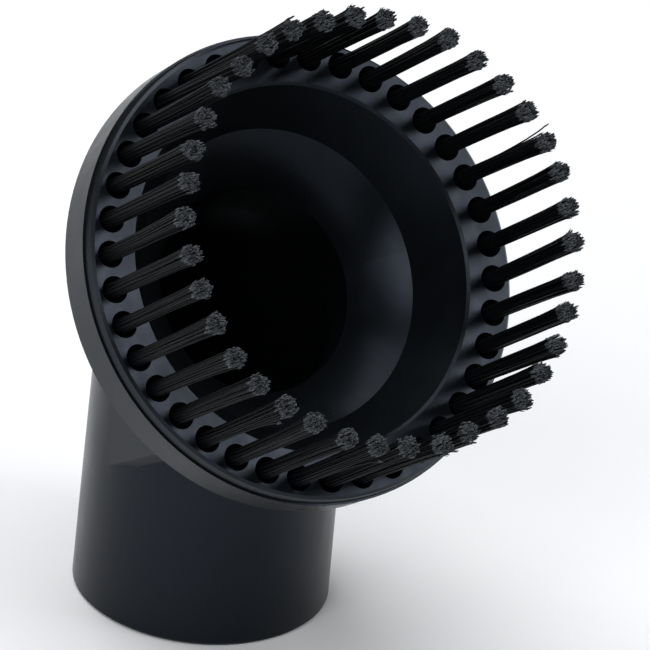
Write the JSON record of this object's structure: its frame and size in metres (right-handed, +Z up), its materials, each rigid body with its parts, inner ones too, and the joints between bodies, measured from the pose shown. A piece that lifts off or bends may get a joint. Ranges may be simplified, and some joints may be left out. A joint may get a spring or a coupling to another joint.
{
  "type": "vacuum dusting brush",
  "caption": "Round dusting brush with a bent neck, an open dish, a ring of bristle tufts and a push-fit socket tube for a vacuum wand.",
  "frame": {"origin": "centre of the open mouth of the socket tube, where the brush stands", "axes": "+Z up the axis of the tube, the head leans towards -Y, +X to the right seen from the front"},
  "size_m": [0.068, 0.0758, 0.1012],
  "materials": {
    "body": "semi-gloss moulded black plastic",
    "bristles": "black drawn filament with greyish cut ends",
    "anchors": "flat galvanised wire"
  },
  "bodies": {
    "root": {"socket_tube": "body", "neck_and_head": "body", "tuft_anchors": "anchors", "tuft_01": "bristles", "tuft_02": "bristles", "tuft_03": "bristles", "tuft_04": "bristles", "tuft_05": "bristles", "tuft_06": "bristles", "tuft_07": "bristles", "tuft_08": "bristles", "tuft_09": "bristles", "tuft_10": "bristles", "tuft_11": "bristles", "tuft_12": "bristles", "tuft_13": "bristles", "tuft_14": "bristles", "tuft_15": "bristles", "tuft_16": "bristles", "tuft_17": "bristles", "tuft_18": "bristles", "tuft_19": "bristles", "tuft_20": "bristles", "tuft_21": "bristles", "tuft_22": "bristles", "tuft_23": "bristles", "tuft_24": "bristles", "tuft_25": "bristles", "tuft_26": "bristles", "tuft_27": "bristles", "tuft_28": "bristles", "tuft_29": "bristles", "tuft_30": "bristles", "tuft_31": "bristles", "tuft_32": "bristles", "tuft_33": "bristles", "tuft_34": "bristles", "tuft_35": "bristles", "tuft_36": "bristles", "tuft_37": "bristles", "tuft_38": "bristles"}
  },
  "joints": []
}
